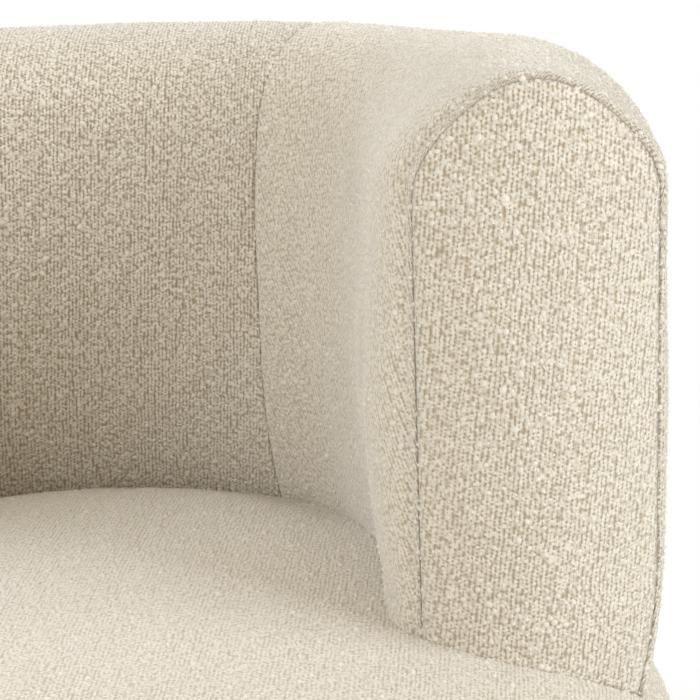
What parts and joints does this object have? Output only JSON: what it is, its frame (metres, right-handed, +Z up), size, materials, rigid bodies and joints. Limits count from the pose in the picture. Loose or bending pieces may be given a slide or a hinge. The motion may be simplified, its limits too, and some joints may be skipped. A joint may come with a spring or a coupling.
{
  "type": "upholstered armchair",
  "caption": "Round armchair in cream boucle: a domed drum seat with a thick padded back and arms wrapped round it in one wall, on a recessed plinth.",
  "frame": {"origin": "on the floor, under the middle of the round seat", "axes": "+Z up, -Y out of the chair's front, +X to the right of someone who looks at the chair from its front"},
  "size_m": [0.83, 0.83, 0.77],
  "materials": {
    "boucle": "looped cream boucle",
    "foam": "open-cell foam",
    "plywood": "raw plywood",
    "black_plinth": "black stain, matte",
    "webbing": "woven elastic",
    "felt": "needled felt",
    "dust_cloth": "spunbond cloth",
    "steel": "zinc plated",
    "glide_plastic": "matte"
  },
  "bodies": {
    "root": {"arm_board_left": "plywood", "arm_board_right": "plywood", "arm_cover_left": "boucle", "arm_cover_right": "boucle", "arm_front_cover_left": "boucle", "arm_front_cover_right": "boucle", "arm_front_pad_left": "foam", "arm_front_pad_right": "foam", "arm_post_left": "plywood", "arm_post_right": "plywood", "arm_screws_left": "steel", "arm_screws_right": "steel", "base_ring": "plywood", "bottom_rail": "plywood", "deck_ring": "plywood", "drum_side_cover": "boucle", "drum_side_foam": "foam", "drum_skin": "plywood", "dust_cover": "dust_cloth", "glides": "glide_plastic", "inner_skin": "plywood", "inside_arm_foam_left": "foam", "inside_arm_foam_right": "foam", "inside_back_cover": "boucle", "inside_back_foam": "foam", "outer_skin": "plywood", "outside_cover": "boucle", "outside_foam": "foam", "plinth_ring": "black_plinth", "plinth_screws": "steel", "seat_core_foam": "foam", "seat_felt": "felt", "seat_ribs": "plywood", "seat_top_cover": "boucle", "seat_top_foam": "foam", "top_rail": "plywood", "top_roll_foam": "foam", "wall_bolts": "steel", "wall_nuts": "steel", "wall_posts": "plywood", "wall_washers": "steel", "webbing_crosswise": "webbing", "webbing_lengthwise": "webbing"}
  },
  "joints": []
}
